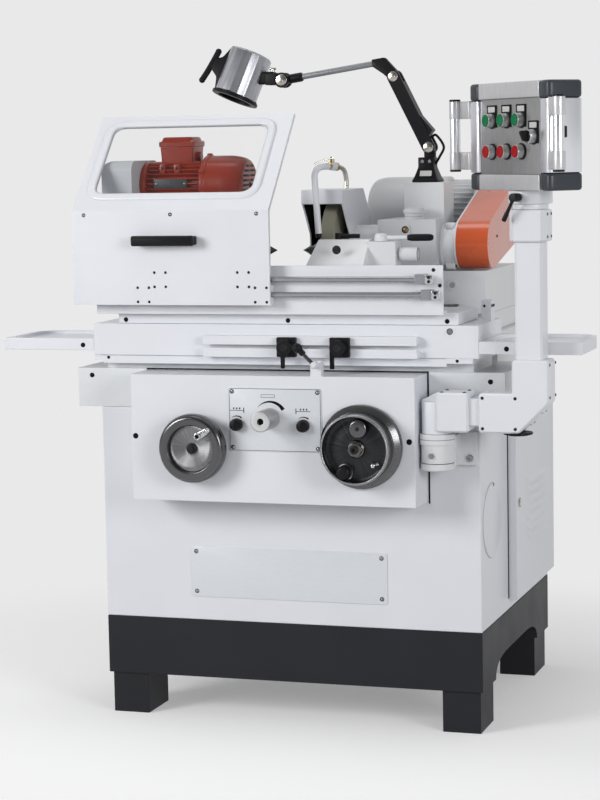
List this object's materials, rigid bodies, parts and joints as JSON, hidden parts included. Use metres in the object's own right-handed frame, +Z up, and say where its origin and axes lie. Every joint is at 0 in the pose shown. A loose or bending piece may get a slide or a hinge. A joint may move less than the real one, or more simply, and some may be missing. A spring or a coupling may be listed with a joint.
{
  "type": "cylindrical grinder",
  "caption": "Small universal cylindrical grinder on a cabinet base, with workhead, tailstock, wheel head, sliding and swivelling tables, guard, lamp and swinging control pendant.",
  "frame": {"origin": "bottom centre of the bounding box, on the floor", "axes": "+X to the operator's right, +Y away from the operator, +Z up"},
  "size_m": [1.3912, 0.9762, 1.5597],
  "materials": {
    "white_paint": "satin enamel",
    "black_paint": "satin enamel",
    "red_paint": "semi-gloss enamel",
    "orange_paint": "semi-gloss enamel",
    "grey_paint": "satin enamel",
    "bright_steel": "ground and plated",
    "dark_steel": "turned and blackened",
    "iron": "machined",
    "stone": "bonded abrasive grit",
    "black_plastic": "satin",
    "rubber": "matt",
    "glass": "clear",
    "aluminium": "brushed and anodised",
    "green_plastic": "gloss",
    "red_plastic": "gloss"
  },
  "bodies": {
    "base": {"plinth": "black_paint", "cabinet": "white_paint", "bed": "white_paint", "apron": "white_paint", "pendant_bracket": "white_paint", "cross_slide": "white_paint"},
    "electrical_door": {"electrical_door": "white_paint"},
    "speed_knob": {"speed_knob": "aluminium"},
    "left_dwell_knob": {"left_dwell_knob": "black_plastic"},
    "right_dwell_knob": {"right_dwell_knob": "black_plastic"},
    "reversing_lever": {"reversing_lever": "black_plastic"},
    "table": {"lower_table": "white_paint", "left_wing": "white_paint", "right_wing": "white_paint"},
    "table_handwheel": {"table_handwheel": "dark_steel"},
    "table_crank": {"table_crank": "bright_steel"},
    "left_dog": {"left_dog": "black_plastic"},
    "right_dog": {"right_dog": "black_plastic"},
    "swivel_table": {"upper_table": "white_paint", "guard_panel": "white_paint", "upper_guard_rod": "bright_steel", "lower_guard_rod": "bright_steel", "workhead_body": "white_paint", "workhead_motor": "red_paint", "workhead_belt_cover": "grey_paint", "workhead_belt": "rubber", "tailstock_body": "white_paint"},
    "guard_door": {"guard_door": "white_paint", "door_window": "glass", "door_handle": "black_plastic"},
    "work_spindle": {"workhead_spindle": "dark_steel"},
    "work_motor_shaft": {"workhead_motor_pulley": "iron"},
    "tailstock_quill": {"tailstock_quill": "dark_steel"},
    "tailstock_lever": {"tailstock_lever": "dark_steel"},
    "tailstock_lock": {"tailstock_lock": "black_plastic"},
    "wheelhead": {"wheelhead_body": "white_paint", "wheel_guard": "white_paint", "wheel_motor": "grey_paint", "wheel_belt": "rubber", "wheel_belt_cover": "orange_paint", "coolant_pipe": "white_paint"},
    "cross_feed_handwheel": {"cross_feed_handwheel": "dark_steel"},
    "wheel_spindle": {"wheel_spindle": "bright_steel", "grinding_wheel": "stone"},
    "wheel_motor_shaft": {"wheel_motor_pulley": "iron"},
    "lamp_foot": {"lamp_base": "black_plastic", "lamp_cable": "rubber"},
    "lamp_lower_arm": {"lamp_lower_arm": "black_plastic"},
    "lamp_upper_arm": {"lamp_upper_arm": "aluminium"},
    "lamp_head": {"lamp_head": "aluminium"},
    "pendant_arm": {"pendant_arm": "white_paint"},
    "pendant": {"pendant_case": "aluminium"},
    "pendant_clamp": {"pendant_clamp": "black_plastic"},
    "start_button_1": {"start_button_1": "green_plastic"},
    "start_button_2": {"start_button_2": "green_plastic"},
    "start_button_3": {"start_button_3": "green_plastic"},
    "stop_button_1": {"stop_button_1": "red_plastic"},
    "stop_button_2": {"stop_button_2": "red_plastic"},
    "stop_button_3": {"stop_button_3": "red_plastic"},
    "selector_knob": {"selector_knob": "black_plastic"}
  },
  "joints": [
    {"name": "electrical_door_hinge", "type": "hinge", "parent": "base", "child": "electrical_door", "pos_m": [0.45668, 0.46914, 0.481], "axis": [0, 0, 1], "range_deg": [0, 110]},
    {"name": "speed_knob_turn", "type": "hinge", "parent": "base", "child": "speed_knob", "pos_m": [-0.01362, -0.35, 0.718], "axis": [0, 1, 0], "range_deg": [-135, 135]},
    {"name": "left_dwell_turn", "type": "hinge", "parent": "base", "child": "left_dwell_knob", "pos_m": [-0.09162, -0.34, 0.703], "axis": [0, 1, 0], "range_deg": [-135, 135]},
    {"name": "right_dwell_turn", "type": "hinge", "parent": "base", "child": "right_dwell_knob", "pos_m": [0.06438, -0.34, 0.703], "axis": [0, 1, 0], "range_deg": [-135, 135]},
    {"name": "reversing_lever_tilt", "type": "hinge", "parent": "base", "child": "reversing_lever", "pos_m": [0.09338, -0.335, 0.838], "axis": [0, 1, 0], "range_deg": [-15, 15]},
    {"name": "table_slide", "type": "slide", "parent": "base", "child": "table", "axis": [1, 0, 0], "range_m": [-0.12, 0.1]},
    {"name": "table_handwheel_turn", "type": "hinge", "parent": "base", "child": "table_handwheel", "pos_m": [-0.18762, -0.35, 0.651], "axis": [0, 1, 0], "range_deg": [-1100, 920]},
    {"name": "table_crank_fold", "type": "hinge", "parent": "table_handwheel", "child": "table_crank", "pos_m": [-0.16562, -0.38, 0.681], "axis": [0, 1, 0], "range_deg": [-60, 60]},
    {"name": "left_dog_slide", "type": "slide", "parent": "table", "child": "left_dog", "axis": [1, 0, 0], "range_m": [-0.17, 0.035]},
    {"name": "right_dog_slide", "type": "slide", "parent": "table", "child": "right_dog", "axis": [1, 0, 0], "range_m": [-0.035, 0.14]},
    {"name": "swivel_table_turn", "type": "hinge", "parent": "table", "child": "swivel_table", "pos_m": [-0.00662, -0.15086, 0.93], "axis": [0, 0, 1], "range_deg": [-2, 5]},
    {"name": "guard_door_slide", "type": "slide", "parent": "swivel_table", "child": "guard_door", "axis": [1, 0, 0], "range_m": [0, 0.27]},
    {"name": "work_spindle_turn", "type": "hinge", "parent": "swivel_table", "child": "work_spindle", "pos_m": [-0.2, -0.13086, 1.08], "axis": [1, 0, 0], "continuous": true},
    {"name": "work_motor_turn", "type": "hinge", "parent": "swivel_table", "child": "work_motor_shaft", "pos_m": [-0.38, -0.09086, 1.229], "axis": [1, 0, 0], "continuous": true},
    {"name": "tailstock_quill_slide", "type": "slide", "parent": "swivel_table", "child": "tailstock_quill", "axis": [1, 0, 0], "range_m": [0, 0.02], "stiffness_N_per_m": 1500, "springref_m": -0.01},
    {"name": "tailstock_lever_turn", "type": "hinge", "parent": "swivel_table", "child": "tailstock_lever", "pos_m": [0.19038, -0.13086, 1.108], "axis": [0, 0, 1], "range_deg": [-36, 1]},
    {"name": "tailstock_lock_turn", "type": "hinge", "parent": "swivel_table", "child": "tailstock_lock", "pos_m": [0.09038, -0.13086, 1.11], "axis": [0, 0, 1], "range_deg": [-60, 0]},
    {"name": "wheelhead_slide", "type": "slide", "parent": "base", "child": "wheelhead", "axis": [0, 1, 0], "range_m": [-0.008, 0.12]},
    {"name": "cross_feed_turn", "type": "hinge", "parent": "base", "child": "cross_feed_handwheel", "pos_m": [0.19738, -0.35, 0.66], "axis": [0, 1, 0], "range_deg": [-4350, 300]},
    {"name": "wheel_spindle_turn", "type": "hinge", "parent": "wheelhead", "child": "wheel_spindle", "pos_m": [0.2, 0.04914, 1.08], "axis": [1, 0, 0], "continuous": true},
    {"name": "wheel_motor_turn", "type": "hinge", "parent": "wheelhead", "child": "wheel_motor_shaft", "pos_m": [0.33, 0.30414, 1.154], "axis": [1, 0, 0], "continuous": true},
    {"name": "lamp_swivel", "type": "hinge", "parent": "wheelhead", "child": "lamp_foot", "pos_m": [0.23638, 0.11514, 1.23], "axis": [0, 0, 1], "range_deg": [-40, 10]},
    {"name": "lamp_lower_hinge", "type": "hinge", "parent": "lamp_foot", "child": "lamp_lower_arm", "pos_m": [0.24238, 0.11514, 1.307], "axis": [0, 1, 0], "range_deg": [-2, 12], "deforming": ["lamp_cable"]},
    {"name": "lamp_elbow_hinge", "type": "hinge", "parent": "lamp_lower_arm", "child": "lamp_upper_arm", "pos_m": [0.15938, 0.11514, 1.473], "axis": [0, 1, 0], "range_deg": [0, 25]},
    {"name": "lamp_head_hinge", "type": "hinge", "parent": "lamp_upper_arm", "child": "lamp_head", "pos_m": [-0.11562, 0.11514, 1.472], "axis": [0, 1, 0], "range_deg": [-15, 20]},
    {"name": "pendant_arm_swing", "type": "hinge", "parent": "base", "child": "pendant_arm", "pos_m": [0.35638, -0.28586, 0.7], "axis": [0, 0, 1], "range_deg": [-75, 0]},
    {"name": "pendant_swivel", "type": "hinge", "parent": "pendant_arm", "child": "pendant", "pos_m": [0.56688, -0.28586, 1.18], "axis": [0, 0, 1], "range_deg": [-60, 60]},
    {"name": "pendant_clamp_turn", "type": "hinge", "parent": "pendant", "child": "pendant_clamp", "pos_m": [0.55078, -0.33006, 1.1985], "axis": [-0.342, -0.9397, 0], "range_deg": [-45, 45]},
    {"name": "start_button_1_press", "type": "slide", "parent": "pendant", "child": "start_button_1", "axis": [0.7096, 0.7046, 0], "range_m": [0, 0.004], "stiffness_N_per_m": 600, "springref_m": -0.003},
    {"name": "start_button_2_press", "type": "slide", "parent": "pendant", "child": "start_button_2", "axis": [0.7096, 0.7046, 0], "range_m": [0, 0.004], "stiffness_N_per_m": 600, "springref_m": -0.003},
    {"name": "start_button_3_press", "type": "slide", "parent": "pendant", "child": "start_button_3", "axis": [0.7096, 0.7046, 0], "range_m": [0, 0.004], "stiffness_N_per_m": 600, "springref_m": -0.003},
    {"name": "stop_button_1_press", "type": "slide", "parent": "pendant", "child": "stop_button_1", "axis": [0.7096, 0.7046, 0], "range_m": [0, 0.004], "stiffness_N_per_m": 600, "springref_m": -0.003},
    {"name": "stop_button_2_press", "type": "slide", "parent": "pendant", "child": "stop_button_2", "axis": [0.7096, 0.7046, 0], "range_m": [0, 0.004], "stiffness_N_per_m": 600, "springref_m": -0.003},
    {"name": "stop_button_3_press", "type": "slide", "parent": "pendant", "child": "stop_button_3", "axis": [0.7096, 0.7046, 0], "range_m": [0, 0.004], "stiffness_N_per_m": 600, "springref_m": -0.003},
    {"name": "selector_turn", "type": "hinge", "parent": "pendant", "child": "selector_knob", "pos_m": [0.58578, -0.39816, 1.326], "axis": [-0.7096, -0.7046, 0], "range_deg": [-45, 45]}
  ],
  "couplings": [
    {"joint": "table_handwheel_turn", "follows": "table_slide", "rad_per_m": 157.08},
    {"joint": "cross_feed_turn", "follows": "wheelhead_slide", "rad_per_m": -628.32},
    {"joint": "work_motor_turn", "follows": "work_spindle_turn", "ratio": 1.9091},
    {"joint": "wheel_motor_turn", "follows": "wheel_spindle_turn", "ratio": 0.7083},
    {"joint": "tailstock_lever_turn", "follows": "tailstock_quill_slide", "rad_per_m": -30.5}
  ]
}
